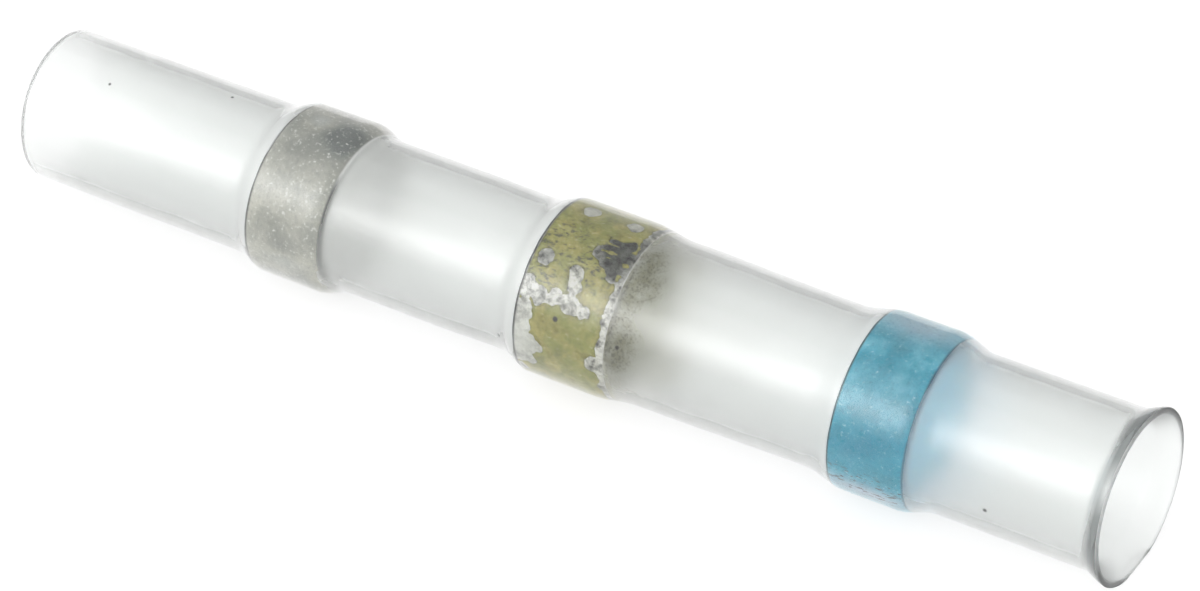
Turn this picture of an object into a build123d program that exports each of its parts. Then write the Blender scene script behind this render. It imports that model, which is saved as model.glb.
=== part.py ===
from build123d import *
from collections import namedtuple
from math import sin
import os

# A solder seal wire connector. Sizes are in millimetres. The wires run along X, +Z is up,
# and the origin is on the wire axis, midway between the sleeve's two mouths.

# Lengths along the sleeve, from the left mouth to the right one, each tail on its longest side
LEFT_TAIL_LENGTH = 9.38
LEFT_SEAL_WIDTH = 2.72
LEFT_SPAN_LENGTH = 7.48
SOLDER_WIDTH = 3.30
RIGHT_SPAN_LENGTH = 7.98
RIGHT_SEAL_WIDTH = 2.56
RIGHT_TAIL_LENGTH = 7.04

# Rings: one bore for the wires, one wall, and a film of flux around the solder ring
RING_BORE_RADIUS = 2.20
RING_WALL = 0.43
FLUX_THICKNESS = 0.04
SEAT_GAP = 0.02  # between a ring and the sleeve that is drawn down over it

# Sleeve: its wall, and the radius of its bore where it holds no ring
SLEEVE_WALL = 0.35
LEFT_TAIL_BORE = 2.31
LEFT_SPAN_BORE = 2.33
NECK_BORE = 2.29
SOLDER_HEEL_BORE = 2.465
RIGHT_SPAN_BORE = 2.375
RIGHT_TAIL_BORE = 2.33

# Mouths: both are cut slightly askew, and the right one flares out to a thin lip
LEFT_CUT_TILT = 3.0  # degrees, the underside shorter
RIGHT_CUT_TILT = 5.0  # degrees
RIGHT_CUT_SIDE = 46.0  # degrees from the top towards the front: the side that is shorter
RIGHT_FLARE_LENGTH = 0.90
RIGHT_FLARE_RISE = 0.40
LIP_THICKNESS = 0.20

# Underside: the sleeve is pressed very slightly flat where its three bulges lie on the bench,
# and its flared lip, a little more so, stays clear of the bench
REST_FLAT_DEPTH = 0.16
LIP_CLEARANCE = 0.08

# How the sleeve climbs onto each ring and comes down again: how far before the ring's left end
# the slope begins, how far past that end it reaches full height, how far before the ring's
# right end it starts to fall, and how far past that end it is down
Fit = namedtuple("Fit", "climb_start climb_end drop_start drop_end")
LEFT_SEAL_FIT = Fit(0.74, 0.21, 0.48, 0.57)
SOLDER_FIT = Fit(0.83, 0.22, 0.78, 0.87)
RIGHT_SEAL_FIT = Fit(1.06, 0.39, 0.38, 0.92)
NECK_LENGTH = 2.6  # of the gentle narrowing before the solder ring's slope
GENTLE_SLOPE = 0.05  # rise over run: below this the skin is drawn as one straight cone
EASE_RUN = 0.27  # of a steeper slope's length: the skin eases in and out over this share
EASE_RISE = 0.15  # of a steeper slope's rise, which each easing takes up

# Flux: how much of the ring it leaves bare at each end, and the round spots that it has drawn
# back from, as distance from the ring's left end, angle from the top towards the front, radius
LEFT_BARE_RIM = 0.08
RIGHT_BARE_RIM = 0.28
LONG_BARE_STREAK = [
    (0.22, 54, 0.36), (0.75, 57, 0.30), (1.25, 55, 0.26), (1.80, 56, 0.33), (2.30, 58, 0.26),
]
BARE_TONGUE = [(1.72, 36, 0.27), (1.82, 45, 0.24)]
BARE_FINGERS = [
    (2.75, 2, 0.30), (2.75, 15, 0.34), (2.75, 28, 0.28), (2.33, 1, 0.15), (2.22, 13, 0.17),
    (2.30, 29, 0.13),
]
BARE_HOLLOW = [
    (0.28, 70, 0.36), (0.24, 83, 0.37), (0.45, 95, 0.42), (0.86, 96, 0.22), (0.20, 108, 0.38),
]
BARE_PATCHES = [
    (0.50, 31, 0.30), (0.85, -19, 0.30), (2.45, -19, 0.28), (2.92, 93, 0.30),
    (1.40, -82, 0.40), (1.90, -135, 0.44), (0.80, 178, 0.42),
]
MARGIN_SPOTS = 9  # scallops along the right margin of the flux
SCALLOP_RADIUS = 0.16
SCALLOP_VARIATION = 0.08

# Ends of each ring along the sleeve
LEFT_MOUTH_X = -0.5 * (
    LEFT_TAIL_LENGTH + LEFT_SEAL_WIDTH + LEFT_SPAN_LENGTH + SOLDER_WIDTH
    + RIGHT_SPAN_LENGTH + RIGHT_SEAL_WIDTH + RIGHT_TAIL_LENGTH
)
RIGHT_MOUTH_X = -LEFT_MOUTH_X
Ring = namedtuple("Ring", "left right fit")
left_seal_start = LEFT_MOUTH_X + LEFT_TAIL_LENGTH
LEFT_SEAL = Ring(left_seal_start, left_seal_start + LEFT_SEAL_WIDTH, LEFT_SEAL_FIT)
solder_start = LEFT_SEAL.right + LEFT_SPAN_LENGTH
SOLDER = Ring(solder_start, solder_start + SOLDER_WIDTH, SOLDER_FIT)
right_seal_start = SOLDER.right + RIGHT_SPAN_LENGTH
RIGHT_SEAL = Ring(right_seal_start, right_seal_start + RIGHT_SEAL_WIDTH, RIGHT_SEAL_FIT)

# Radii that follow from the sizes above
POCKET_BORE = RING_BORE_RADIUS + RING_WALL + SEAT_GAP
CLEAR_OF_ALL = 2 * (POCKET_BORE + SLEEVE_WALL)


def over_ring(ring, bore_before, bore_after):
    """The four places where the bore's radius turns as the sleeve passes over a ring."""
    return [
        (ring.left - ring.fit.climb_start, bore_before),
        (ring.left + ring.fit.climb_end, POCKET_BORE),
        (ring.right - ring.fit.drop_start, POCKET_BORE),
        (ring.right + ring.fit.drop_end, bore_after),
    ]


def bore_stations():
    """Where the bore's radius turns, from the left mouth to the right one, as (x, radius)."""
    neck_start = SOLDER.left - SOLDER.fit.climb_start - NECK_LENGTH
    mouth_bore = RIGHT_TAIL_BORE + RIGHT_FLARE_RISE
    return (
        [(LEFT_MOUTH_X, LEFT_TAIL_BORE)]
        + over_ring(LEFT_SEAL, LEFT_TAIL_BORE, LEFT_SPAN_BORE)
        + [(neck_start, LEFT_SPAN_BORE)]
        + over_ring(SOLDER, NECK_BORE, SOLDER_HEEL_BORE)
        + over_ring(RIGHT_SEAL, RIGHT_SPAN_BORE, RIGHT_TAIL_BORE)
        + [(RIGHT_MOUTH_X - RIGHT_FLARE_LENGTH, RIGHT_TAIL_BORE), (RIGHT_MOUTH_X, mouth_bore)]
    )


def skin_stations():
    """The same places on the outside: one wall above the bore, thinner at the flared lip."""
    stations = [(x, radius + SLEEVE_WALL) for x, radius in bore_stations()]
    lip_x, lip_bore = bore_stations()[-1]
    stations[-1] = (lip_x, lip_bore + LIP_THICKNESS)
    return stations


def draped(stations):
    """The stations with two more on each steep slope, so that it leaves gently, climbs and
    arrives gently: the S shape that shrunk film takes over a step."""
    eased = [stations[0]]
    for (x0, r0), (x1, r1) in zip(stations, stations[1:]):
        run, rise = x1 - x0, r1 - r0
        if abs(rise) > GENTLE_SLOPE * run:
            eased.append((x0 + EASE_RUN * run, r0 + EASE_RISE * rise))
            eased.append((x1 - EASE_RUN * run, r1 - EASE_RISE * rise))
        eased.append((x1, r1))
    return eased


def turned(stations):
    """The solid of revolution under straight lines through the stations, down to the wire axis."""
    outline = [(x, 0, radius) for x, radius in stations]
    on_axis = [(stations[-1][0], 0, 0), (stations[0][0], 0, 0)]
    return revolve(make_face(Polyline(outline + on_axis, close=True)), axis=Axis.X)


def bore_filling(inset):
    """A solid that fills the sleeve's bore, smaller than it all round by the inset."""
    return turned([(x, radius - inset) for x, radius in bore_stations()])


def below_flats():
    """The space under the small flats on which the sleeve lies, and under the lip's own flat."""
    bench = REST_FLAT_DEPTH - POCKET_BORE - SLEEVE_WALL
    top_centre = (Align.CENTER, Align.CENTER, Align.MAX)
    under_bulges = Box(2 * RIGHT_MOUTH_X, CLEAR_OF_ALL, CLEAR_OF_ALL, align=top_centre)
    under_lip = Box(2 * RIGHT_FLARE_LENGTH, CLEAR_OF_ALL, CLEAR_OF_ALL, align=top_centre)
    return Pos(0, 0, bench) * under_bulges + Pos(RIGHT_MOUTH_X, 0, bench + LIP_CLEARANCE) * under_lip


def left_cut():
    """The plane of the left mouth, through the top of its rim. It faces into the sleeve."""
    into_sleeve = Vector(1, 0, 0).rotate(Axis.Y, -LEFT_CUT_TILT)
    return Plane((LEFT_MOUTH_X, 0, LEFT_TAIL_BORE + SLEEVE_WALL), z_dir=into_sleeve)


def right_cut():
    """The plane of the right mouth, through the longest side of its lip. It faces into the sleeve."""
    lip_radius = RIGHT_TAIL_BORE + RIGHT_FLARE_RISE + LIP_THICKNESS
    longest_side = Vector(0, 0, -lip_radius).rotate(Axis.X, RIGHT_CUT_SIDE)
    into_sleeve = Vector(-1, 0, 0).rotate(Axis.Y, -RIGHT_CUT_TILT).rotate(Axis.X, RIGHT_CUT_SIDE)
    return Plane(Vector(RIGHT_MOUTH_X, 0, 0) + longest_side, z_dir=into_sleeve)


def make_sleeve():
    """The shrunk tube, hollow from mouth to mouth, with both mouths cut askew."""
    tube = turned(draped(skin_stations())) - bore_filling(0) - below_flats()
    return split(split(tube, left_cut(), keep=Keep.TOP), right_cut(), keep=Keep.TOP)


def washer(left, right):
    """A thick-walled slab from one place along the axis to another, with a ring's bore through it."""
    slab = Cylinder(CLEAR_OF_ALL, right - left) - Cylinder(RING_BORE_RADIUS, right - left)
    return Pos((left + right) / 2, 0, 0) * Rot(0, 90, 0) * slab


def make_seal(ring):
    """A hot-melt ring: it fills its pocket, so its outside bevels off where the sleeve drops."""
    return washer(ring.left, ring.right) & bore_filling(SEAT_GAP)


def make_solder_ring():
    """The solder ring, seated like the seals, with room around it for its film of flux."""
    return washer(SOLDER.left, SOLDER.right) & bore_filling(SEAT_GAP + FLUX_THICKNESS)


def scallops():
    """Small bare spots along the right margin of the flux, uneven in size around the ring."""
    spots = []
    for k in range(MARGIN_SPOTS):
        radius = SCALLOP_RADIUS + SCALLOP_VARIATION * sin(1.7 * k)
        spots.append((SOLDER_WIDTH - RIGHT_BARE_RIM, 360 * k / MARGIN_SPOTS, radius))
    return spots


def bare_spot(distance, angle, radius):
    """A round punch that points straight out through the flux, starting inside the ring's wall."""
    punch = Cylinder(radius, 2 * RING_WALL, align=(Align.CENTER, Align.CENTER, Align.MIN))
    return Rot(angle, 0, 0) * Pos(SOLDER.left + distance, 0, RING_BORE_RADIUS) * punch


def make_flux():
    """The flux film on the solder ring's outside, drawn back from the bare spots. It is one
    piece all round: flecks that the spots would cut off from it are left out."""
    coated = washer(SOLDER.left + LEFT_BARE_RIM, SOLDER.right - RIGHT_BARE_RIM)
    film = coated & (bore_filling(SEAT_GAP) - bore_filling(SEAT_GAP + FLUX_THICKNESS))
    spots = LONG_BARE_STREAK + BARE_TONGUE + BARE_FINGERS + BARE_HOLLOW + BARE_PATCHES + scallops()
    drawn_back = film - [bare_spot(*spot) for spot in spots]
    return drawn_back.solids().sort_by(SortBy.VOLUME)[-1]


PIECES = {
    "heat_shrink_sleeve": make_sleeve,
    "left_sealing_ring": lambda: make_seal(LEFT_SEAL),
    "solder_ring": make_solder_ring,
    "flux_coating": make_flux,
    "right_sealing_ring": lambda: make_seal(RIGHT_SEAL),
}

os.makedirs("parts", exist_ok=True)
for name, make in PIECES.items():
    export_step(make(), f"parts/{name}.step")
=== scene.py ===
from math import cos, degrees, log, pi, radians, sin, tan

import bpy
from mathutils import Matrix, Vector, noise


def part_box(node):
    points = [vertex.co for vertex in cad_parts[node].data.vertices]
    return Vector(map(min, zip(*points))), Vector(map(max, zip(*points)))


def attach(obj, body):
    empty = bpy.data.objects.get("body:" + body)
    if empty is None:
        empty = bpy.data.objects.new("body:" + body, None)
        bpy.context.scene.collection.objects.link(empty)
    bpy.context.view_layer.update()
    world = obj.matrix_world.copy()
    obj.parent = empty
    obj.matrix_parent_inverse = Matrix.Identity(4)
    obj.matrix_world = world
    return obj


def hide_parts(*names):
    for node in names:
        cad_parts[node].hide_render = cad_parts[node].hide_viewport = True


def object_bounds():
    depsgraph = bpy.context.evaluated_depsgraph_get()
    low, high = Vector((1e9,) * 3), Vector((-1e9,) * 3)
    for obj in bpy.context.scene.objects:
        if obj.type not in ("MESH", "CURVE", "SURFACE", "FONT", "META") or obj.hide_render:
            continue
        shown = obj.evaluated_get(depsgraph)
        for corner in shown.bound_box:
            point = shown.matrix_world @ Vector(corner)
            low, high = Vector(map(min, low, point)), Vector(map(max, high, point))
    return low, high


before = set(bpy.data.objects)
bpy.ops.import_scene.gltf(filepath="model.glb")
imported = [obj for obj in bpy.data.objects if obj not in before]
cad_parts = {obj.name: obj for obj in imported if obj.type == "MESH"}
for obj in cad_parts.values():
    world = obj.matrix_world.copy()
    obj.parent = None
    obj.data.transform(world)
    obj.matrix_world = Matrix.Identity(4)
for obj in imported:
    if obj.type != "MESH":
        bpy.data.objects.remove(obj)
cad_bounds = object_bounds()

MM = 0.001

# Sizes of the sleeve, in millimetres, as the solids have them
SLEEVE_WALL = 0.35
LEFT_TAIL_BORE = 2.31
LEFT_SPAN_BORE = 2.33
NECK_BORE = 2.29
SOLDER_HEEL_BORE = 2.465
RIGHT_SPAN_BORE = 2.375
RIGHT_TAIL_BORE = 2.33
POCKET_BORE = 2.65
LEFT_CUT_TILT = 3.0
RIGHT_CUT_TILT = 5.0
RIGHT_FLARE_LENGTH = 0.90
RIGHT_FLARE_RISE = 0.40
LIP_THICKNESS = 0.20
NECK_LENGTH = 2.6
REST_FLAT_DEPTH = 0.16
LIP_CLEARANCE = 0.08

# Sizes of the rings and of the flux on the solder ring
RING_BORE_RADIUS = 2.20
SEAT_GAP = 0.02
FLUX_THICKNESS = 0.04

# How the sleeve passes over each ring: climb start before its left end and climb end past it,
# drop start before its right end and drop end past it
LEFT_SEAL_FIT = (0.74, 0.21, 0.48, 0.57)
SOLDER_FIT = (0.83, 0.22, 0.78, 0.87)
RIGHT_SEAL_FIT = (1.06, 0.39, 0.38, 0.92)

# The flux stops short of the solder ring's ends by these
LEFT_BARE_RIM = 0.08
RIGHT_BARE_RIM = 0.28

# Bare spots in the flux: distance from the solder ring's left end, angle from the top towards
# the front in degrees, radius
BARE_STREAK = [
    (0.22, 54, 0.36), (0.75, 57, 0.30), (1.25, 55, 0.26), (1.80, 56, 0.33), (2.30, 58, 0.26),
    (1.72, 36, 0.27), (1.82, 45, 0.24),
]
BARE_FINGERS = [
    (2.75, 2, 0.30), (2.75, 15, 0.34), (2.75, 28, 0.28), (2.33, 1, 0.15), (2.22, 13, 0.17),
    (2.30, 29, 0.13), (2.10, 0, 0.09), (1.96, 14, 0.10), (2.08, 30, 0.08), (2.45, 8, 0.08),
    (2.45, 21, 0.10),
]
BARE_HOLLOW = [
    (0.28, 70, 0.36), (0.24, 83, 0.37), (0.45, 95, 0.42), (0.86, 96, 0.22), (0.20, 108, 0.38),
    (0.62, 112, 0.16), (0.10, 124, 0.22),
]
BARE_PATCHES = [
    (0.50, 31, 0.30), (0.85, -19, 0.30), (2.45, -19, 0.28), (2.92, 93, 0.30),
    (1.40, -82, 0.40), (1.90, -135, 0.44), (0.80, 178, 0.42),
]


def ends_mm(node):
    """A CAD node's lowest and highest place along the tube, in millimetres."""
    low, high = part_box(node)
    return low.x / MM, high.x / MM


LEFT_MOUTH_X, RIGHT_MOUTH_X = ends_mm("heat_shrink_sleeve")
LEFT_SEAL = ends_mm("left_sealing_ring")
SOLDER = ends_mm("solder_ring")
RIGHT_SEAL = ends_mm("right_sealing_ring")


def over_ring(ring, fit, bore_before, bore_after):
    """The bore's stations where the sleeve climbs onto a ring and drops off it again."""
    left, right = ring
    climb_start, climb_end, drop_start, drop_end = fit
    return [
        (left - climb_start, bore_before), (left + climb_end, POCKET_BORE),
        (right - drop_start, POCKET_BORE), (right + drop_end, bore_after),
    ]


BORE_STATIONS = (
    [(LEFT_MOUTH_X, LEFT_TAIL_BORE)]
    + over_ring(LEFT_SEAL, LEFT_SEAL_FIT, LEFT_TAIL_BORE, LEFT_SPAN_BORE)
    + [(SOLDER[0] - SOLDER_FIT[0] - NECK_LENGTH, LEFT_SPAN_BORE)]
    + over_ring(SOLDER, SOLDER_FIT, NECK_BORE, SOLDER_HEEL_BORE)
    + over_ring(RIGHT_SEAL, RIGHT_SEAL_FIT, RIGHT_SPAN_BORE, RIGHT_TAIL_BORE)
    + [(RIGHT_MOUTH_X - RIGHT_FLARE_LENGTH, RIGHT_TAIL_BORE)]
    + [(RIGHT_MOUTH_X, RIGHT_TAIL_BORE + RIGHT_FLARE_RISE)]
)


def eased(u):
    """From 0 to 1, level at both ends."""
    u = min(1.0, max(0.0, u))
    return u * u * (3 - 2 * u)


def bore_radius(x):
    """The sleeve's bore at a place along it, eased from station to station."""
    for (x0, r0), (x1, r1) in zip(BORE_STATIONS, BORE_STATIONS[1:]):
        if x <= x1:
            return r0 + (r1 - r0) * eased((x - x0) / (x1 - x0))
    return BORE_STATIONS[-1][1]


def wall_thickness(x):
    """The wall thins out towards the flared lip."""
    flared = eased((x - RIGHT_MOUTH_X) / RIGHT_FLARE_LENGTH + 1)
    return SLEEVE_WALL + (LIP_THICKNESS - SLEEVE_WALL) * flared


# From the tube towards the photograph's camera. The right mouth is cut shorter on the side that
# is near it, and the grey ring leans across this view.
CAMERA_DIRECTION = Vector((0.3811, -0.6663, 0.6409))
ACROSS_VIEW = CAMERA_DIRECTION.cross(Vector((1, 0, 0))).normalized()
NEAR_SIDE = Vector((0, CAMERA_DIRECTION.y, CAMERA_DIRECTION.z)).normalized()


# Meshes

def add_piece(name, points, faces):
    """A smooth-shaded object through points in millimetres."""
    mesh = bpy.data.meshes.new(name)
    mesh.from_pydata([Vector(point) * MM for point in points], [], faces)
    mesh.shade_smooth()
    piece = bpy.data.objects.new(name, mesh)
    bpy.context.scene.collection.objects.link(piece)
    return piece


def looped_faces(row_count, count):
    """The faces between rows of points, each row a loop around the tube, the last joined to the first."""
    faces = []
    for i in range(row_count):
        a = i * count
        b = ((i + 1) % row_count) * count
        for k in range(count):
            m = (k + 1) % count
            faces.append((a + k, a + m, b + m, b + k))
    return faces


def store(piece, name, values):
    """Keeps one number for each point of the mesh, for its material to read."""
    attribute = piece.data.attributes.new(name, "FLOAT", "POINT")
    attribute.data.foreach_set("value", values)


def stand_in_for(piece, node):
    """The piece moves with the body and hides a CAD node."""
    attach(piece, "root")
    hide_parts(node)


def spaced(start, end, step):
    """Even places from start to end, about a step apart."""
    count = max(1, round((end - start) / step))
    return [start + (end - start) * k / count for k in range(count + 1)]


E = 2.718


def bell(*offsets):
    """1 where every offset is 0, falling off smoothly to nearly 0 by 2."""
    return E ** -sum(offset ** 2 for offset in offsets)


# Sleeve

SEGMENTS = 160
SLEEVE_STEP = 0.17
LIP_ROUND = 0.05
ARC_POINT = 0.3  # where a rounding's middle point lies, as a part of its radius
LEFT_CUT_FADE = 1.5  # how far into the sleeve each askew cut still shifts it
RIGHT_CUT_FADE = 2.0
PRESS = 0.01  # how far the bore is drawn into the rings that it grips, so that no air shows there
PRESS_FADE = 0.10  # past a ring's ends
# The film's waviness: how far it sinks below the true radius to stay inside it, the height of its
# slow and fine waves, how often the slow ones come along and around the tube, and the fine ones
WAVE_SINK = 0.014
SLOW_WAVE = 0.010
FINE_WAVE = 0.003
WAVES_ALONG = 0.35
WAVES_AROUND = 1.3
FINE_WAVES = 3.1


def unevenness(x, angle):
    """How far the drawn film stands off its true radius: a slow, slight waviness, never outwards."""
    spot = Vector((x * WAVES_ALONG, WAVES_AROUND * cos(angle), WAVES_AROUND * sin(angle)))
    slow = noise.noise(spot)
    fine = noise.noise(spot * FINE_WAVES + Vector((7.0, 2.0, 5.0)))
    return -WAVE_SINK + SLOW_WAVE * slow + FINE_WAVE * fine


def grip(x):
    """How far the bore sinks to reach into a ring: the seat gap, the flux and a little more."""
    depth = 0.0
    for (left, right), coat in [(LEFT_SEAL, 0.0), (SOLDER, FLUX_THICKNESS), (RIGHT_SEAL, 0.0)]:
        outside = max(left - x, x - right, 0.0)
        depth += (SEAT_GAP + coat + 2 * PRESS) * (1 - eased(outside / PRESS_FADE))
    return depth


def left_cut_shift(x, z):
    """The left mouth is cut askew: its underside is shorter, and the shift fades into the tail."""
    outer = LEFT_TAIL_BORE + SLEEVE_WALL
    fade = max(0.0, 1 - (x - LEFT_MOUTH_X) / LEFT_CUT_FADE)
    return (outer - z) * tan(radians(LEFT_CUT_TILT)) * fade


def right_cut_shift(x, y, z):
    """The right mouth is cut askew too: its near side is shorter."""
    lip = RIGHT_TAIL_BORE + RIGHT_FLARE_RISE + LIP_THICKNESS
    fade = eased(1 - (RIGHT_MOUTH_X - x) / RIGHT_CUT_FADE)
    return -(lip + NEAR_SIDE.y * y + NEAR_SIDE.z * z) * tan(radians(RIGHT_CUT_TILT)) * fade


def loop_around(x, radius):
    """One loop of the sleeve, slightly uneven, with the flat on which it lies. The flat under the
    flared lip stands clear of the floor."""
    rest_z = REST_FLAT_DEPTH - POCKET_BORE - SLEEVE_WALL
    if x > RIGHT_MOUTH_X - RIGHT_FLARE_LENGTH:
        rest_z += LIP_CLEARANCE
    row = []
    for k in range(SEGMENTS):
        angle = 2 * pi * k / SEGMENTS
        r = radius + unevenness(x, angle)
        y = r * cos(angle)
        z = max(r * sin(angle), rest_z)
        row.append((x + left_cut_shift(x, z) + right_cut_shift(x, y, z), y, z))
    return row


def rounded_end(line, end_x, inward):
    """Adds the rounding of a cut edge to a line of (x, radius) that ends at end_x. It rounds
    towards the axis where inward is 1, and away from it where inward is -1."""
    radius = line[-1][1]
    step_in = LIP_ROUND if end_x < 0 else -LIP_ROUND
    line[-1] = (end_x + step_in, radius)
    line.append((end_x + ARC_POINT * step_in, radius - inward * ARC_POINT * LIP_ROUND))
    line.append((end_x, radius - inward * LIP_ROUND))
    return line


def make_sleeve():
    """The shrunk tube: the outside, round the lip, and back along the bore. The bore and the two
    cut edges have finishes of their own."""
    xs = spaced(LEFT_MOUTH_X, RIGHT_MOUTH_X, SLEEVE_STEP)
    outside = [(x, bore_radius(x) + wall_thickness(x)) for x in xs]
    bore = [(x, bore_radius(x) - grip(x)) for x in xs]
    outside = rounded_end(outside, RIGHT_MOUTH_X, 1)
    outside = rounded_end(outside[::-1], LEFT_MOUTH_X, 1)[::-1]
    bore = rounded_end(bore, RIGHT_MOUTH_X, -1)
    bore = rounded_end(bore[::-1], LEFT_MOUTH_X, -1)
    profile = outside + bore
    points = [point for x, radius in profile for point in loop_around(x, radius)]
    piece = add_piece("shrunk_sleeve", points, looped_faces(len(profile), SEGMENTS))
    for look in (outside_look(), bore_look(), cut_edge_look()):
        piece.data.materials.append(look.material)
    bore_slot, cut_slot = 1, 2
    rim_start = RIGHT_MOUTH_X - 1.01 * LIP_ROUND
    for i, face in enumerate(piece.data.polygons):
        row = i // SEGMENTS
        ends = abs(profile[row][0]), abs(profile[(row + 1) % len(profile)][0])
        if min(ends) > rim_start:
            face.material_index = cut_slot
        elif row >= len(outside):
            face.material_index = bore_slot
    stand_in_for(piece, "heat_shrink_sleeve")


# Rings

RING_STEP = 0.07
RING_BORE_STEP = 0.2
RING_EDGE = 0.05
RING_WAVES_ALONG = 1.6  # how often a ring's unevenness comes along it, and around it
RING_WAVES_AROUND = 4.2


def patch_sum(distance, angle, patches):
    """The sum of soft patches, each (distance, angle, half length, half angle, strength)."""
    total = 0.0
    for at, around, length, spread, strength in patches:
        turn = (angle - around + 180) % 360 - 180
        total += strength * bell((distance - at) / length, turn / spread)
    return total


def ring_outline(left, right, coat):
    """The line of (x, radius) of a ring's outside, from end to end, with its edges rounded."""
    outline = [(x, bore_radius(x) - SEAT_GAP - coat) for x in spaced(left, right, RING_STEP)]
    first_r, last_r = outline[0][1], outline[-1][1]
    outline[0] = (left, first_r - RING_EDGE)
    outline.insert(1, (left + ARC_POINT * RING_EDGE, first_r - ARC_POINT * RING_EDGE))
    outline.insert(2, (left + RING_EDGE, first_r))
    outline[-1] = (right, last_r - RING_EDGE)
    outline.insert(-1, (right - RING_EDGE, last_r))
    outline.insert(-1, (right - ARC_POINT * RING_EDGE, last_r - ARC_POINT * RING_EDGE))
    return outline


def make_ring(name, node, ends, look, patches, coat=0.0, skew_degrees=0.0, waves_mm=0.012):
    """A ring that fills its place in the bore, less the coat of flux on it, with soft edges and a
    slightly uneven surface, and seated askew across the view by the skew. Its material reads how
    far along the ring a point is and its turn around it, 0.5 at the top and more towards the
    front, whether it is on the inside, and the strength of the soft patches there."""
    left, right = ends
    outline = ring_outline(left, right, coat)
    inline = [(x, RING_BORE_RADIUS) for x in reversed(spaced(left, right, RING_BORE_STEP))]
    points, along, inner, shade, turned = [], [], [], [], []
    for i, (x, radius) in enumerate(outline + inline):
        for k in range(SEGMENTS):
            angle = 2 * pi * k / SEGMENTS
            spot = Vector((
                x * RING_WAVES_ALONG, RING_WAVES_AROUND * cos(angle), RING_WAVES_AROUND * sin(angle)))
            r = radius + waves_mm * (noise.noise(spot) - 0.5)
            point = Vector((x, r * cos(angle), r * sin(angle)))
            point.x += tan(radians(skew_degrees)) * point.dot(ACROSS_VIEW)
            points.append(point)
            along.append(x - left)
            inner.append(1.0 if i >= len(outline) else 0.0)
            shade.append(patch_sum(x - left, degrees(angle) - 90, patches))
            turned.append(((degrees(angle) - 90 + 180) % 360) / 360)
    piece = add_piece(name, points, looped_faces(len(outline) + len(inline), SEGMENTS))
    store(piece, "along", along)
    store(piece, "inner", inner)
    store(piece, "shade", shade)
    store(piece, "turn", turned)
    piece.data.materials.append(look.material)
    stand_in_for(piece, node)


# Flux

FLUX_BLEND = 0.05  # how softly the bare spots run into each other
FLUX_STEP = 0.045
FLUX_SEGMENTS = 360
FLUX_EDGE = 0.16  # the film rounds off to nothing over this distance from its edge
FLUX_SINK = 0.008  # its edge meets the metal this far down
FLUX_UNDERSIDE = 0.006  # and its underside is this much deeper
LEAST_SLOPE = 0.2  # keeps a point beside a level part of the margin from being drawn too far
LOBES = [(0.085, 3.4), (0.045, 8.0)]  # the margin's lobes, broad and small: depth, how often
RIM_RAGGEDNESS = 1.6  # how much deeper the lobes are at the right rim
# Where the flux ends in thin fingers, and where a strip of it parts them from the streak: distance,
# angle, half length, half angle, depth
COMB = (2.45, 12, 0.6, 16, 0.90)
BRIDGE = (2.4, 33, 0.42, 5, 0.28)
FINGERS_ALONG = 1.2  # how often a finger comes along the ring, and around it
FINGERS_AROUND = 5.5


def flux_margin(distance, angle):
    """How far inside the flux a place on the solder ring is, in millimetres. Below 0 it is bare.
    The edge runs in and out in small lobes, as the melted film has drawn back."""
    around = radians(angle)
    spot = Vector((distance, POCKET_BORE * cos(around), POCKET_BORE * sin(around)))
    (broad, broad_often), (small, small_often) = LOBES
    lobes = broad * noise.noise(spot * broad_often)
    lobes += small * noise.noise(spot * small_often + Vector((3, 1, 4)))
    fingers = noise.noise(Vector((spot.x * FINGERS_ALONG, spot.y * FINGERS_AROUND, spot.z * FINGERS_AROUND)))
    lobes += patch_sum(distance, angle, [COMB]) * fingers + patch_sum(distance, angle, [BRIDGE])
    closeness = 0.0
    for at, turned, radius in BARE_STREAK + BARE_FINGERS + BARE_HOLLOW + BARE_PATCHES:
        turn = radians((angle - turned + 180) % 360 - 180)
        gap = ((distance - at) ** 2 + (POCKET_BORE * turn) ** 2) ** 0.5 - radius
        closeness += E ** (-gap / FLUX_BLEND)
    margin = -FLUX_BLEND * log(closeness + 1e-9)
    right_edge = SOLDER[1] - SOLDER[0] - RIGHT_BARE_RIM - distance
    return min(margin + lobes, distance - LEFT_BARE_RIM, right_edge + RIM_RAGGEDNESS * lobes)


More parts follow.
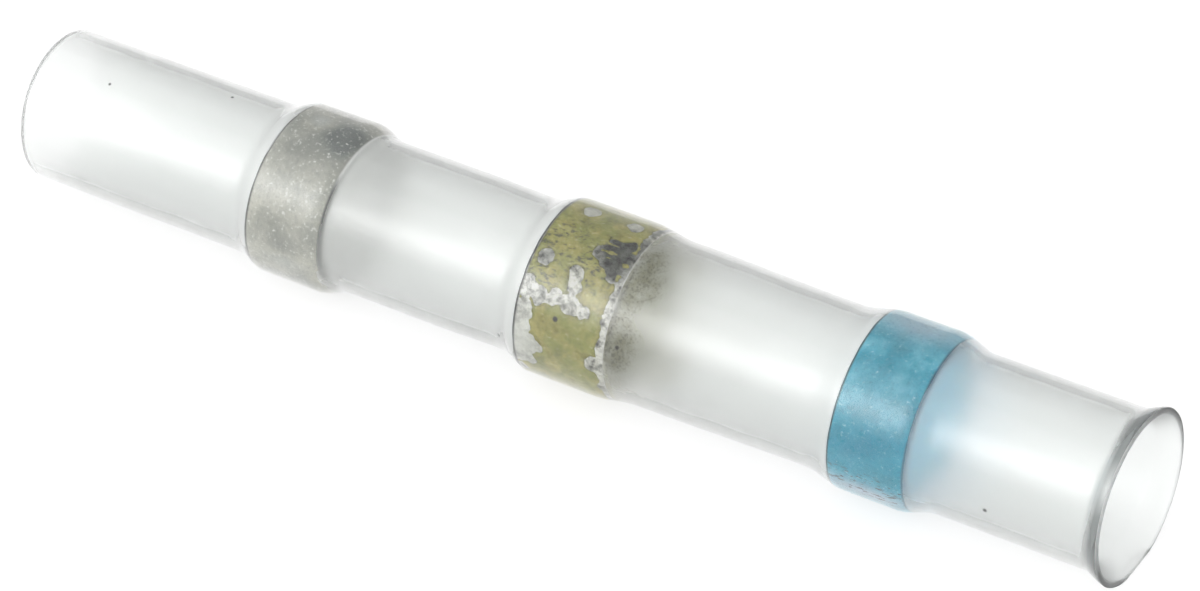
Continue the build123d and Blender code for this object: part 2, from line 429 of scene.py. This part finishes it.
def make_flux():
    """The melted film of flux: its top swells from nothing at its lobed edges. Points just outside
    an edge are drawn in to it, and the two sides of the film meet there."""
    width = SOLDER[1] - SOLDER[0]
    distances = spaced(0.0, width, FLUX_STEP)
    step = distances[1]
    turn = 360 / FLUX_SEGMENTS
    margins = [[flux_margin(d, k * turn - 90) for k in range(FLUX_SEGMENTS)] for d in distances]
    tops, bottoms, points, inside = {}, {}, [], []

    def add_point(d, angle, radius, margin):
        points.append((SOLDER[0] + d, radius * cos(radians(angle)), radius * sin(radians(angle))))
        inside.append(margin)
        return len(points) - 1

    for i, d in enumerate(distances):
        for k in range(FLUX_SEGMENTS):
            margin = margins[i][k]
            metal = bore_radius(SOLDER[0] + d) - SEAT_GAP - FLUX_THICKNESS - FLUX_SINK
            if margin > 0:
                swell = FLUX_THICKNESS * (1 - (1 - min(1.0, margin / FLUX_EDGE)) ** 2)
                tops[i, k] = add_point(d, k * turn, metal + swell, margin)
                bottoms[i, k] = add_point(d, k * turn, metal - FLUX_UNDERSIDE, margin)
                continue
            before, after = max(i - 1, 0), min(i + 1, len(distances) - 1)
            left_k, right_k = (k - 1) % FLUX_SEGMENTS, (k + 1) % FLUX_SEGMENTS
            near = [margins[m][n] for m in (before, i, after) for n in (left_k, k, right_k)]
            if max(near) <= 0:
                continue
            along = (margins[after][k] - margins[before][k]) / ((after - before) * step)
            across = (margins[i][right_k] - margins[i][left_k]) / (2 * radians(turn) * POCKET_BORE)
            steep = max(along * along + across * across, LEAST_SLOPE)
            move_d = min(step, max(-step, -margin * along / steep))
            move_turn = min(turn, max(-turn, degrees(-margin * across / steep / POCKET_BORE)))
            rim = add_point(min(width, max(0.0, d + move_d)), k * turn + move_turn, metal, 0.0)
            tops[i, k] = bottoms[i, k] = rim
    faces = []
    for i in range(len(distances) - 1):
        for k in range(FLUX_SEGMENTS):
            m = (k + 1) % FLUX_SEGMENTS
            corners = [(i, k), (i, m), (i + 1, m), (i + 1, k)]
            kept = [corner for corner in corners if corner in tops]
            if len(kept) < 3 or all(tops[corner] == bottoms[corner] for corner in kept):
                continue
            faces.append([tops[corner] for corner in kept])
            faces.append([bottoms[corner] for corner in reversed(kept)])
    piece = add_piece("flux_film", points, faces)
    store(piece, "inside", inside)
    piece.data.materials.append(flux_look().material)
    stand_in_for(piece, "flux_coating")


# Materials

class Wiring:
    """Short ways to wire a node tree."""

    def __init__(self, tree):
        self.nodes = tree.nodes
        self.links = tree.links

    def put(self, socket, value):
        """Feeds a socket from an output, or sets it to a number or a plain colour."""
        if isinstance(value, (int, float)):
            socket.default_value = value
        elif isinstance(value, tuple):
            socket.default_value = (*value, 1)
        else:
            self.links.new(value, socket)

    def node(self, kind, **inputs):
        """A new node, with some of its sockets set or fed."""
        node = self.nodes.new(kind)
        for name, value in inputs.items():
            self.put(node.inputs[name.replace("_", " ")], value)
        return node

    def math(self, operation, *values):
        """One sum on outputs or numbers."""
        node = self.nodes.new("ShaderNodeMath")
        node.operation = operation
        for socket, value in zip(node.inputs, values):
            self.put(socket, value)
        return node.outputs[0]

    def ramp(self, value, stops):
        """A colour by value, from stops of (value, colour)."""
        node = self.nodes.new("ShaderNodeValToRGB")
        self.links.new(value, node.inputs["Fac"])
        elements = node.color_ramp.elements
        while len(elements) < len(stops):
            elements.new(0.5)
        for element, (position, colour) in zip(elements, stops):
            element.position = position
            element.color = (*colour, 1)
        return node.outputs["Color"]

    def level(self, value, stops):
        """A number by value, from stops of (value, number)."""
        return self.ramp(value, [(position, (number,) * 3) for position, number in stops])


class Look(Wiring):
    """A material of the part, and short ways to vary it over a surface."""

    def __init__(self, name):
        self.material = bpy.data.materials.new(name)
        self.material.use_nodes = True
        super().__init__(self.material.node_tree)
        self.shader = self.nodes["Principled BSDF"]
        self.place = self.nodes.new("ShaderNodeTexCoord").outputs["Object"]

    def set(self, **values):
        """Sets sockets of the shader that are the same all over."""
        for socket, value in values.items():
            self.shader.inputs[socket.replace("_", " ")].default_value = value

    def feed(self, socket, output):
        """Feeds a socket of the shader."""
        self.links.new(output, self.shader.inputs[socket])

    def stored(self, name):
        """A number that the mesh keeps for each of its points."""
        node = self.nodes.new("ShaderNodeAttribute")
        node.attribute_name = name
        return node.outputs["Fac"]

    def noise(self, size_mm, detail=4.0, stretch=(1, 1, 1), roughness=0.55):
        """A noise whose blotches are about size_mm across, as a value from 0 to 1."""
        mapping = self.nodes.new("ShaderNodeMapping")
        self.links.new(self.place, mapping.inputs["Vector"])
        mapping.inputs["Scale"].default_value = [s / (size_mm * MM) for s in stretch]
        texture = self.node("ShaderNodeTexNoise", Scale=1.0, Detail=detail, Roughness=roughness,
                            Vector=mapping.outputs["Vector"])
        return texture.outputs["Fac"]

    def spread(self, value, low, high, start=0.3, end=0.7):
        """Maps a value from between start and end onto the range low to high."""
        node = self.node("ShaderNodeMapRange", Value=value, From_Min=start, From_Max=end,
                         To_Min=low, To_Max=high)
        return node.outputs["Result"]

    def along_tube(self, start_mm, end_mm):
        """From 0 to 1 between two places along the tube."""
        parts = self.node("ShaderNodeSeparateXYZ", Vector=self.place)
        return self.spread(parts.outputs["X"], 0.0, 1.0, start_mm * MM, end_mm * MM)

    def past(self, place_mm, start_mm, end_mm, stops):
        """A number by the distance past a place along the tube, from stops between start and end."""
        return self.level(self.along_tube(place_mm + start_mm, place_mm + end_mm), stops)

    def mix(self, amount, first, second, blend="MIX"):
        """Blends two colours, each an output or a plain colour."""
        node = self.nodes.new("ShaderNodeMix")
        node.data_type = "RGBA"
        node.blend_type = blend
        self.put(node.inputs["Factor"], amount)
        sockets = [socket for socket in node.inputs if socket.type == "RGBA"]
        for socket, value in zip(sockets, (first, second)):
            self.put(socket, value)
        return [socket for socket in node.outputs if socket.type == "RGBA"][0]

    def spots(self, start_mm, places):
        """1 inside round spots, 0 elsewhere. Each is a distance past start_mm along the tube, an
        angle from the top towards the front, a distance from the tube's axis, and a radius."""
        found = None
        for x, angle, reach, radius in places:
            around = radians(angle)
            centre = Vector((start_mm + x, -reach * sin(around), reach * cos(around)))
            node = self.nodes.new("ShaderNodeVectorMath")
            node.operation = "DISTANCE"
            self.links.new(self.place, node.inputs[0])
            node.inputs[1].default_value = centre * MM
            inside = self.spread(node.outputs["Value"], 1.0, 0.0, 0.5 * radius * MM, radius * MM)
            found = inside if found is None else self.math("MAXIMUM", found, inside)
        return found

    def bump(self, value, height_mm):
        """Raises the surface where the value is high."""
        node = self.node("ShaderNodeBump", Distance=height_mm * MM, Height=value)
        self.feed("Normal", node.outputs["Normal"])


FILM = (0.981, 0.998, 0.987)  # its faint cast
FILM_IOR = 1.49

# Where the film puckered as it shrank against a ring's right edge: the edge, where the puckers
# start, are deepest and end past it, and their strength
PUCKERS = [
    (LEFT_SEAL[1], -0.90, -0.10, 2.30, 0.7),
    (SOLDER[1], -0.48, -0.08, 1.92, 1.0),
    (RIGHT_SEAL[1], -0.62, -0.22, 2.18, 0.9),
]

# Specks of dirt, patches of stain, and patches of painted shade, as Look.spots takes them
FILM_DIRT = [
    (3.15, 72, 2.83, 0.10), (-1.25, 101, 2.66, 0.09), (16.0, 94, 2.69, 0.10), (-13.3, -7, 2.66, 0.08),
    (-17.4, 21, 2.66, 0.07), (-1.7, -61, 2.66, 0.09), (8.8, -110, 2.73, 0.10), (-15.2, 150, 2.66, 0.09),
]
FLUX_DIRT = [(0.83, 69, 2.63, 0.12), (1.7, -60, 2.63, 0.10), (0.7, 150, 2.63, 0.11)]
FLUX_GRIME = [
    (0.7, 14, 2.63, 1.2), (2.1, 26, 2.63, 1.2), (0.5, 44, 2.63, 0.8), (1.6, -100, 2.63, 1.4),
    (2.2, 170, 2.63, 1.3),
]
# Soot past the solder ring, also painted shade where the ring's end face and bore lie behind the film
SOOT_AND_PAINTED_SHADE = [
    (0.3, 8, 2.6, 0.8), (0.3, 28, 2.6, 1.15), (0.3, 80, 2.6, 0.8), (0.25, 66, 2.6, 1.1), (0.4, 190, 2.6, 1.1),
    (0.4, -70, 2.6, 1.0),
]
# Painted shade on the outside of the flared lip
LIP_SHADE = [(0.0, -5, 2.9, 3.6), (0.0, 100, 2.9, 3.6)]


def outside_look():
    """The film's outside: smooth from the heat, clear, with a faint green-grey cast, a few specks
    of dirt, and painted grey shade where the flare turns away from the light."""
    look = Look("shrink_film")
    look.set(IOR=FILM_IOR, Transmission_Weight=1.0, Coat_Weight=1.0, Coat_Roughness=0.17, Coat_IOR=1.5)
    flare = look.past(RIGHT_MOUTH_X, -1.5, 0.0, [(0.38, 0), (0.50, 1), (1, 1)])
    # Painted shade: the flare's outside is greyed where it turns away from the light
    painted_lip_shade = look.math("MULTIPLY", flare, look.spots(RIGHT_MOUTH_X, LIP_SHADE))
    colour = look.mix(painted_lip_shade, FILM, (0.17, 0.19, 0.19))
    look.feed("Base Color", look.mix(look.spots(0.0, FILM_DIRT), colour, (0.02, 0.02, 0.02)))
    look.feed("Roughness", look.spread(look.noise(1.4), 0.03, 0.065))
    return look


def bore_look():
    """The film's inside: frosted, stained past the rings by what they gave off or crept along it,
    with painted shade past the solder ring, and puckered where it shrank against their edges."""
    look = Look("shrink_film_bore")
    look.set(IOR=FILM_IOR, Transmission_Weight=0.88)
    blotches = look.noise(0.55, detail=6)
    grain = look.noise(0.09, detail=3)
    haze = look.past(LEFT_SEAL[1], 0.0, 2.0, [(0, 0), (0.06, 0.9), (0.5, 0.35), (1, 0)])
    colour = look.mix(haze, FILM, (0.86, 0.87, 0.85))
    # Fumes of the flux, soot and specks past the solder ring; their darkness is also painted shade of the
    # ring's end face and bore behind the film
    fumes_and_painted_shade = look.past(SOLDER[1], -0.25, 2.15, [(0, 0), (0.12, 1), (0.3, 0.7), (0.5, 0.2), (0.8, 0)])
    fumes_and_painted_shade = look.math("MULTIPLY", fumes_and_painted_shade, look.spread(blotches, 0.55, 1.0, 0.3, 0.55))
    colour = look.mix(look.math("MULTIPLY", fumes_and_painted_shade, 0.5), colour, (0.62, 0.61, 0.48))
    soot_and_painted_shade = look.math("MULTIPLY", look.spots(SOLDER[1], SOOT_AND_PAINTED_SHADE), look.spread(blotches, 0.3, 1.0, 0.35, 0.6))
    colour = look.mix(soot_and_painted_shade, colour, (0.30, 0.29, 0.18))
    # This grime carries painted shade as well
    grimy = look.math("ADD", soot_and_painted_shade, look.math("MULTIPLY", fumes_and_painted_shade, 0.3))
    specks = look.math("MULTIPLY", grimy, look.level(grain, [(0.50, 0), (0.62, 0.8)]))
    colour = look.mix(specks, colour, (0.14, 0.13, 0.08))
    # Blue hot melt that has crept past its ring
    creep = look.past(RIGHT_SEAL[1], -0.2, 1.9, [(0, 0), (0.1, 1), (0.55, 0.8), (0.85, 0.15), (1, 0)])
    creep = look.math("MULTIPLY", creep, look.spread(blotches, 0.6, 1.0, 0.35, 0.6))
    colour = look.mix(creep, colour, (0.84, 0.93, 1.0))
    look.feed("Base Color", colour)
    look.feed("Roughness", look.spread(look.noise(1.1), 0.36, 0.46))
    puckered = 0.0
    for edge, start, peak, end, strength in PUCKERS:
        one = look.past(edge, start, end, [(0, 0), ((peak - start) / (end - start), strength), (1, 0)])
        puckered = look.math("MAXIMUM", puckered, one)
    look.bump(look.math("MULTIPLY", puckered, look.noise(0.2, detail=4)), 0.008)
    return look


def cut_edge_look():
    """The two mouths, where the blade left a frosted edge."""
    look = Look("shrink_film_cut")
    look.set(IOR=FILM_IOR, Transmission_Weight=0.95)
    colour = look.ramp(look.noise(0.5), [(0.3, (0.90, 0.91, 0.91)), (0.7, (0.95, 0.96, 0.96))])
    look.feed("Base Color", colour)
    look.feed("Roughness", look.spread(look.noise(0.3), 0.6, 0.8))
    return look


def edge_lines(look, colour, ring, left_edge_painted_shade, right_edge_painted_shading, upper_right_edge_painted_shading):
    """Thin painted lines along a ring's two edges, where the film turns off it: painted shade along
    the left edge, painted shading along the right. The right edge is painted as catching the light above and
    not below."""
    width = ring[1] - ring[0]
    along = look.math("DIVIDE", look.stored("along"), width)
    near_left = look.level(along, [(0.0, 1), (0.055 / width, 1), (0.10 / width, 0)])
    near_right = look.level(along, [(1 - 0.09 / width, 0), (1 - 0.045 / width, 1)])
    colour = look.mix(look.math("MULTIPLY", near_left, 0.85), colour, left_edge_painted_shade)
    # Painted shading: the right edge's colour changes from below to above
    lit = look.level(look.stored("turn"), [(0.30, 0), (0.34, 1), (0.57, 1), (0.61, 0)])
    right_edge_painted_shading = look.mix(lit, right_edge_painted_shading, upper_right_edge_painted_shading)
    return look.mix(look.math("MULTIPLY", near_right, 0.85), colour, right_edge_painted_shading)


def soft_patches(look, colour, pale, dark):
    """The ring's soft patches, paler and darker, some of them painted shade, highlight and reflection."""
    shade = look.stored("shade")
    colour = look.mix(look.math("MAXIMUM", shade, 0.0), colour, pale)
    return look.mix(look.math("MAXIMUM", look.math("MULTIPLY", shade, -1.0), 0.0), colour, dark)


def painted_crinkle_shading(look, colour, dark, light, light_stops):
    """The fine crinkling of cooled hot melt as colour alone: painted shade in its hollows and painted
    highlight on its tops.
    """
    height = look.noise(0.13, detail=6, roughness=0.7)
    colour = look.mix(look.level(height, [(0.36, 0.35), (0.46, 0)]), colour, dark)
    return look.mix(look.level(height, light_stops), colour, light)


def grey_melt_look():
    """Waxy and nearly colourless, in soft grey patches: painted shade high up, a faint painted
    highlight across the middle, painted shade and highlight in its fine crinkling, painted
    shade and highlight at its edges, and a paler inside that is painted light.
    """
    look = Look("grey_hot_melt")
    look.set(Subsurface_Weight=1.0, Subsurface_Radius=(1, 1, 1), Subsurface_Scale=0.35 * MM)
    colour = look.ramp(look.noise(0.9, detail=7), [
        (0.30, (0.42, 0.43, 0.39)), (0.50, (0.56, 0.56, 0.50)), (0.72, (0.70, 0.69, 0.62))])
    # Painted shade darkens the top, and a faint painted highlight crosses the middle
    colour = soft_patches(look, colour, (0.66, 0.68, 0.66), (0.20, 0.22, 0.21))
    # Painted shade in the crinkling's hollows and painted highlight on its tops
    colour = painted_crinkle_shading(look, colour, (0.30, 0.31, 0.30), (0.93, 0.93, 0.90), [(0.56, 0), (0.66, 0.8)])
    # Painted shade on both edges, with a painted highlight on the upper right edge
    colour = edge_lines(look, colour, LEFT_SEAL, (0.05, 0.05, 0.05), (0.12, 0.13, 0.13), (0.95, 0.96, 0.95))
    # Painted light: the inside is paler, standing in for light that shines through the ring
    colour = look.mix(look.stored("inner"), colour, (0.97, 0.97, 0.95))
    look.feed("Base Color", colour)
    look.feed("Roughness", look.spread(look.noise(0.4), 0.25, 0.5))
    look.bump(look.noise(0.3, detail=5), 0.03)
    return look


def blue_melt_look():
    """Waxy and blue, with scratches low down in front, a painted reflection along the top,
    painted shade and highlight in its fine crinkling, painted shade at its edges, and a paler
    inside that is painted light.
    """
    look = Look("blue_hot_melt")
    look.set(Subsurface_Weight=1.0, Subsurface_Radius=(0.7, 1, 1.1), Subsurface_Scale=0.35 * MM)
    colour = look.ramp(look.noise(0.8, detail=7), [
        (0.30, (0.01, 0.35, 0.47)), (0.50, (0.03, 0.45, 0.59)), (0.70, (0.17, 0.62, 0.74))])
    # The pale patch along the top is a painted reflection
    colour = soft_patches(look, colour, (0.55, 0.68, 0.78), (0.0, 0.34, 0.49))
    # Painted shade in the crinkling's hollows and painted highlight on its tops
    colour = painted_crinkle_shading(look, colour, (0.0, 0.22, 0.36), (0.55, 0.85, 0.93), [(0.58, 0), (0.68, 0.6)])
    scratches = look.level(look.noise(0.14, detail=4, stretch=(0.5, 1.6, 1.6)), [(0.36, 1), (0.42, 0)])
    low_down = look.level(look.stored("turn"), [(0.77, 0), (0.79, 1), (0.84, 1), (0.87, 0)])
    colour = look.mix(look.math("MULTIPLY", scratches, low_down), colour, (0.03, 0.06, 0.10))
    # Painted shade on both edges, darkest on the upper right edge
    colour = edge_lines(look, colour, RIGHT_SEAL, (0.02, 0.05, 0.06), (0.08, 0.20, 0.28), (0.03, 0.12, 0.20))
    # Painted light: the inside is paler, standing in for light that shines through the ring
    colour = look.mix(look.stored("inner"), colour, (0.60, 0.84, 1.0))
    look.feed("Base Color", colour)
    look.feed("Roughness", look.spread(look.noise(0.4), 0.25, 0.45))
    look.bump(look.noise(0.28, detail=5), 0.03)
    return look


def solder_look():
    """Bright and wrinkled where the flux has drawn back, darkened in places by a painted dark
    reflection, stained inside, with painted shade on its end faces, painted shade along its
    left edge and a painted highlight along its right edge.
    """
    look = Look("solder_metal")
    look.set(Metallic=1.0)
    colour = look.ramp(look.noise(0.26, detail=6, roughness=0.62), [
        (0.34, (0.12, 0.12, 0.11)), (0.43, (0.38, 0.38, 0.36)),
        (0.53, (0.74, 0.74, 0.71)), (0.62, (1.0, 1.0, 0.97))])
    shade = look.stored("shade")
    # Painted dark reflection on the darker patches of bare metal
    painted_dark_reflection = look.math("MAXIMUM", look.math("MULTIPLY", shade, -1.0), 0.0)
    colour = look.mix(painted_dark_reflection, colour, (0.17, 0.18, 0.17), blend="MULTIPLY")
    colour = look.mix(look.math("MAXIMUM", shade, 0.0), colour, (0.90, 0.91, 0.86))
    # Painted dark reflection: a dark band high up beside the bright right edge
    along = look.math("DIVIDE", look.stored("along"), SOLDER[1] - SOLDER[0])
    band = look.level(along, [(0.90, 0), (0.93, 1), (0.955, 1), (0.97, 0)])
    upper = look.level(look.stored("turn"), [(0.24, 0), (0.28, 1), (0.42, 1), (0.48, 0)])
    band = look.math("MULTIPLY", band, look.math("MULTIPLY", upper, 0.75))
    colour = look.mix(band, colour, (0.16, 0.18, 0.18))
    # Painted shade on the left edge and a painted highlight along the right edge
    colour = edge_lines(look, colour, SOLDER, (0.04, 0.04, 0.04), (0.75, 0.75, 0.73), (1.0, 1.0, 1.0))
    inner = look.stored("inner")
    colour = look.mix(inner, colour, (0.66, 0.66, 0.54))
    # Painted shade on the end faces, between the outside and the inside
    painted_end_face_shade = look.level(inner, [(0.0, 0), (0.05, 0.9), (0.45, 0.6), (0.8, 0)])
    colour = look.mix(painted_end_face_shade, colour, (0.10, 0.10, 0.09))
    look.feed("Base Color", colour)
    look.feed("Roughness", look.spread(look.noise(0.3), 0.32, 0.52))
    look.bump(look.noise(0.16, detail=6, roughness=0.7), 0.07)
    return look


def flux_look():
    """Resin, olive in places and amber in others, darker along its margin, smeared and grimy, with
    specks of dirt in it."""
    look = Look("flux_resin")
    olive = look.ramp(look.noise(0.55, detail=7, roughness=0.6), [
        (0.27, (0.18, 0.19, 0.03)), (0.45, (0.29, 0.30, 0.05)),
        (0.60, (0.38, 0.38, 0.10)), (0.78, (0.54, 0.52, 0.23))])
    amber = look.ramp(look.noise(0.4, detail=7, roughness=0.6), [
        (0.27, (0.25, 0.21, 0.04)), (0.45, (0.40, 0.35, 0.08)),
        (0.60, (0.53, 0.47, 0.14)), (0.78, (0.69, 0.63, 0.30))])
    colour = look.mix(look.level(look.noise(0.7, detail=4), [(0.44, 0), (0.60, 0.8)]), olive, amber)
    edge = look.level(look.stored("inside"), [(0, 1), (0.03, 0.8), (0.07, 0)])
    colour = look.mix(look.math("MULTIPLY", edge, 0.4), colour, (0.14, 0.14, 0.05))
    smears = look.noise(0.16, detail=6, stretch=(0.7, 1.3, 1.3), roughness=0.7)
    grimy = look.math("ADD", look.spots(SOLDER[0], FLUX_GRIME), 0.25)
    grime = look.math("MULTIPLY", look.level(smears, [(0.40, 1), (0.49, 0)]), grimy)
    colour = look.mix(look.math("MULTIPLY", grime, 0.75), colour, (0.08, 0.08, 0.03))
    colour = look.mix(look.level(smears, [(0.58, 0), (0.70, 0.6)]), colour, (0.74, 0.72, 0.48))
    colour = look.mix(look.spots(0.0, FLUX_DIRT), colour, (0.01, 0.01, 0.01))
    look.feed("Base Color", colour)
    look.feed("Roughness", look.spread(look.noise(0.4), 0.22, 0.45))
    look.bump(look.noise(0.22, detail=5), 0.02)
    return look


# Soft patches on the rings: distance from the left end, angle from the top towards the front,
# half length, half angle, strength. Below 0 is darker, above 0 is paler.
# The darker grey patches high up are painted shade, and the faint pale one across the middle is a painted
# highlight
GREY_PATCHES = [
    (0.95, -10, 0.5, 10, 1.1), (2.1, -6, 0.75, 16, -0.9), (2.3, 12, 0.4, 9, -0.35), (0.9, 22, 0.6, 9, -0.25),
    (1.3, 0, 1.8, 24, -0.55), (1.4, 46, 1.5, 10, 0.15), (1.5, 104, 0.7, 8, 0.5), (1.5, 88, 1.2, 10, -0.35),
    (1.0, 180, 0.6, 25, 0.5), (1.8, -90, 0.7, 22, -0.5),
]
# The pale blue patch along the top is a painted reflection
BLUE_PATCHES = [
    (1.2, -20, 1.5, 15, 0.75), (1.7, 74, 1.1, 13, -0.9), (0.7, 84, 0.6, 9, -0.6), (1.2, 12, 1.2, 14, 0.10),
    (0.6, 119, 1.2, 9, 0.6), (1.9, 121, 1.2, 9, 0.7), (1.5, 20, 1.2, 12, -0.25), (1.0, 185, 0.9, 30, 0.5),
    (1.6, -95, 0.8, 25, -0.5),
]
# The darker solder patches in front are a painted dark reflection of the bare metal
SOLDER_PATCHES = [
    (2.6, -2, 0.75, 12, -1.0), (2.6, 14, 0.85, 12, -1.0), (2.7, 27, 0.5, 7, -0.8), (0.5, 31, 0.4, 8, -0.7),
    (0.4, 92, 0.9, 26, 0.9), (0.9, -19, 0.5, 9, 0.9), (2.4, -19, 0.5, 8, 0.8), (1.8, -135, 0.7, 16, -0.8),
]

make_sleeve()
make_ring("grey_seal", "left_sealing_ring", LEFT_SEAL, grey_melt_look(), GREY_PATCHES,
          skew_degrees=1.5)
make_ring("solder_band", "solder_ring", SOLDER, solder_look(), SOLDER_PATCHES,
          coat=FLUX_THICKNESS, waves_mm=0.010)
make_flux()
make_ring("blue_seal", "right_sealing_ring", RIGHT_SEAL, blue_melt_look(), BLUE_PATCHES)


# Floor

FLOOR_HALF = 600
PAPER_GREY = 0.88  # what the floor sends back onto the part
SEEN_GREY = 0.35  # the part of the seen floor that takes the shadow, and the part that glows
SEEN_GLOW = 0.72


def floor_material():
    """White paper. Seen straight on, or through and off the part, it is white under its shadow."""
    material = bpy.data.materials.new("white_floor")
    material.use_nodes = True
    wiring = Wiring(material.node_tree)
    wiring.nodes.clear()
    paper = wiring.node("ShaderNodeBsdfDiffuse", Color=(PAPER_GREY,) * 3)
    shadowed = wiring.node("ShaderNodeBsdfDiffuse", Color=(SEEN_GREY,) * 3)
    glow = wiring.node("ShaderNodeEmission", Color=(1, 1, 1), Strength=SEEN_GLOW)
    seen = wiring.node("ShaderNodeAddShader")
    wiring.put(seen.inputs[0], shadowed.outputs[0])
    wiring.put(seen.inputs[1], glow.outputs[0])
    rays = wiring.nodes.new("ShaderNodeLightPath").outputs
    looking = wiring.math("MAXIMUM", rays["Is Camera Ray"], rays["Is Glossy Ray"])
    looking = wiring.math("MAXIMUM", looking, rays["Is Transmission Ray"])
    surface = wiring.node("ShaderNodeMixShader")
    for socket, value in zip(surface.inputs, (looking, paper.outputs[0], seen.outputs[0])):
        wiring.put(socket, value)
    wiring.node("ShaderNodeOutputMaterial", Surface=surface.outputs[0])
    return material


floor_z = cad_bounds[0][2] / MM
floor_corners = [
    Vector((FLOOR_HALF * x, FLOOR_HALF * y, floor_z)) * MM
    for x, y in ((-1, -1), (1, -1), (1, 1), (-1, 1))
]
floor_mesh = bpy.data.meshes.new("floor")
floor_mesh.from_pydata(floor_corners, [], [(0, 1, 2, 3)])
floor_mesh.materials.append(floor_material())
floor = bpy.data.objects.new("floor", floor_mesh)
bpy.context.scene.collection.objects.link(floor)


# Light

# The tent's brightness, and how the window stands out from it, by the turn from the front horizon
# over the top to the back horizon, and for the window also from the left to the right
TENT_LEVELS = [(0.0, 1.05), (0.30, 1.05), (0.40, 0.97), (0.50, 0.92), (0.66, 0.92), (0.69, 0.70), (1.0, 0.70)]
WINDOW_HEIGHT = [(0.0, 0.0), (0.07, 0.28), (0.17, 1.0), (0.22, 0.95), (0.32, 0.28), (0.46, 0.12), (0.50, 0.0)]
WINDOW_WIDTH = [(0.02, 0.0), (0.22, 1.0), (0.45, 1.0), (0.68, 0.0)]
WINDOW_LEVEL = 2.6


def world_light():
    """A soft studio tent: even all round, darker low down behind the part, with one brighter
    window in front, high enough to lie along the tube as a pale band."""
    world = bpy.data.worlds.new("studio")
    bpy.context.scene.world = world
    world.use_nodes = True
    wiring = Wiring(world.node_tree)
    background = wiring.nodes["Background"]
    direction = wiring.nodes.new("ShaderNodeTexCoord").outputs["Generated"]
    parts = wiring.node("ShaderNodeSeparateXYZ", Vector=direction).outputs
    forward = wiring.math("MULTIPLY", parts["Y"], -1)
    turn = wiring.math("DIVIDE", wiring.math("ARCTAN2", parts["Z"], forward), pi)
    sideways = wiring.math("ADD", wiring.math("MULTIPLY", parts["X"], 0.5), 0.5)
    window = wiring.math("MULTIPLY", wiring.level(turn, WINDOW_HEIGHT), wiring.level(sideways, WINDOW_WIDTH))
    lit = wiring.math("ADD", wiring.level(turn, TENT_LEVELS), wiring.math("MULTIPLY", window, WINDOW_LEVEL))
    camera_ray = wiring.nodes.new("ShaderNodeLightPath").outputs["Is Camera Ray"]
    wiring.put(background.inputs["Color"], wiring.math("MAXIMUM", lit, camera_ray))


world_light()


# Camera: the photograph looks down on the tube's front, from beyond its blue end

CAMERA_DISTANCE = 126
CAMERA_TARGET = Vector((0.95, 0.08, 0.10))
CAMERA_LENS = 117

camera_data = bpy.data.cameras.new("camera")
camera_data.lens = CAMERA_LENS
camera_data.clip_start = 0.001
camera = bpy.data.objects.new("camera", camera_data)
bpy.context.scene.collection.objects.link(camera)
camera.location = (CAMERA_TARGET + CAMERA_DIRECTION.normalized() * CAMERA_DISTANCE) * MM
camera.rotation_euler = CAMERA_DIRECTION.to_track_quat("Z", "Y").to_euler()
bpy.context.scene.camera = camera

bpy.context.scene.view_settings.view_transform = "Standard"
